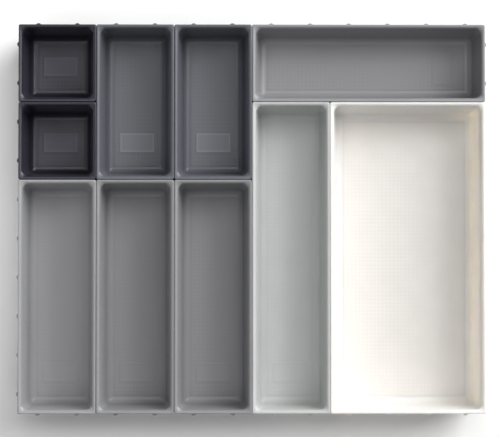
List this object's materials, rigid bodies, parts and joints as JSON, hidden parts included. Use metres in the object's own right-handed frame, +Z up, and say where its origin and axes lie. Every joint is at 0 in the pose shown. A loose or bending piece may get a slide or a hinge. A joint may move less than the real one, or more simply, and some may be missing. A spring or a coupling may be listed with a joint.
{
  "type": "drawer organizer insert",
  "caption": "Modular drawer organizer: open tapered trays of several sizes in black, greys and white stand rim to rim on a square grid, and each one lifts out.",
  "frame": {"origin": "on the drawer floor, under the centre of the whole set", "axes": "+X along the long side towards the wide white tray, +Y to the rear where the squares and the cross tray are, +Z up out of the trays"},
  "size_m": [0.461, 0.3848, 0.0508],
  "materials": {
    "black_shell": "satin moulded polypropylene, smooth, with soft highlights on the rim",
    "dark_grey_shell": "satin moulded polypropylene, smooth, with soft highlights on the rim",
    "mid_grey_shell": "satin moulded polypropylene, smooth, with soft highlights on the rim",
    "light_grey_shell": "satin moulded polypropylene, smooth, with soft highlights on the rim",
    "white_shell": "satin moulded polypropylene, smooth, with soft highlights on the rim",
    "black_liner": "matte soft-touch mat with a fine square grid",
    "dark_grey_liner": "matte soft-touch mat with a fine square grid",
    "mid_grey_liner": "matte soft-touch mat with a fine square grid",
    "light_grey_liner": "matte soft-touch mat with a fine square grid",
    "white_liner": "matte soft-touch mat with a fine square grid",
    "foot_rubber": "matte non-slip rubber"
  },
  "bodies": {
    "square_rear": {"square_rear_tray": "black_shell", "square_rear_liner": "black_liner", "square_rear_foot_1": "foot_rubber", "square_rear_foot_2": "foot_rubber", "square_rear_foot_3": "foot_rubber", "square_rear_foot_4": "foot_rubber"},
    "square_front": {"square_front_tray": "black_shell", "square_front_liner": "black_liner", "square_front_foot_1": "foot_rubber", "square_front_foot_2": "foot_rubber", "square_front_foot_3": "foot_rubber", "square_front_foot_4": "foot_rubber"},
    "double_left": {"double_left_tray": "dark_grey_shell", "double_left_liner": "dark_grey_liner", "double_left_foot_1": "foot_rubber", "double_left_foot_2": "foot_rubber", "double_left_foot_3": "foot_rubber", "double_left_foot_4": "foot_rubber"},
    "double_right": {"double_right_tray": "dark_grey_shell", "double_right_liner": "dark_grey_liner", "double_right_foot_1": "foot_rubber", "double_right_foot_2": "foot_rubber", "double_right_foot_3": "foot_rubber", "double_right_foot_4": "foot_rubber"},
    "cross": {"cross_tray": "mid_grey_shell", "cross_liner": "mid_grey_liner", "cross_foot_1": "foot_rubber", "cross_foot_2": "foot_rubber", "cross_foot_3": "foot_rubber", "cross_foot_4": "foot_rubber"},
    "triple_left": {"triple_left_tray": "mid_grey_shell", "triple_left_liner": "mid_grey_liner", "triple_left_foot_1": "foot_rubber", "triple_left_foot_2": "foot_rubber", "triple_left_foot_3": "foot_rubber", "triple_left_foot_4": "foot_rubber"},
    "triple_middle": {"triple_middle_tray": "mid_grey_shell", "triple_middle_liner": "mid_grey_liner", "triple_middle_foot_1": "foot_rubber", "triple_middle_foot_2": "foot_rubber", "triple_middle_foot_3": "foot_rubber", "triple_middle_foot_4": "foot_rubber"},
    "triple_right": {"triple_right_tray": "mid_grey_shell", "triple_right_liner": "mid_grey_liner", "triple_right_foot_1": "foot_rubber", "triple_right_foot_2": "foot_rubber", "triple_right_foot_3": "foot_rubber", "triple_right_foot_4": "foot_rubber"},
    "long": {"long_tray": "light_grey_shell", "long_liner": "light_grey_liner", "long_foot_1": "foot_rubber", "long_foot_2": "foot_rubber", "long_foot_3": "foot_rubber", "long_foot_4": "foot_rubber"},
    "wide": {"wide_tray": "white_shell", "wide_liner": "white_liner", "wide_foot_1": "foot_rubber", "wide_foot_2": "foot_rubber", "wide_foot_3": "foot_rubber", "wide_foot_4": "foot_rubber"}
  },
  "joints": [
    {"name": "square_rear_lift", "type": "slide", "parent": "wide", "child": "square_rear", "axis": [0, 0, 1], "range_m": [0, 0.07]},
    {"name": "square_front_lift", "type": "slide", "parent": "wide", "child": "square_front", "axis": [0, 0, 1], "range_m": [0, 0.07]},
    {"name": "double_left_lift", "type": "slide", "parent": "wide", "child": "double_left", "axis": [0, 0, 1], "range_m": [0, 0.07]},
    {"name": "double_right_lift", "type": "slide", "parent": "wide", "child": "double_right", "axis": [0, 0, 1], "range_m": [0, 0.07]},
    {"name": "cross_lift", "type": "slide", "parent": "wide", "child": "cross", "axis": [0, 0, 1], "range_m": [0, 0.07]},
    {"name": "triple_left_lift", "type": "slide", "parent": "wide", "child": "triple_left", "axis": [0, 0, 1], "range_m": [0, 0.07]},
    {"name": "triple_middle_lift", "type": "slide", "parent": "wide", "child": "triple_middle", "axis": [0, 0, 1], "range_m": [0, 0.07]},
    {"name": "triple_right_lift", "type": "slide", "parent": "wide", "child": "triple_right", "axis": [0, 0, 1], "range_m": [0, 0.07]},
    {"name": "long_lift", "type": "slide", "parent": "wide", "child": "long", "axis": [0, 0, 1], "range_m": [0, 0.07]}
  ]
}
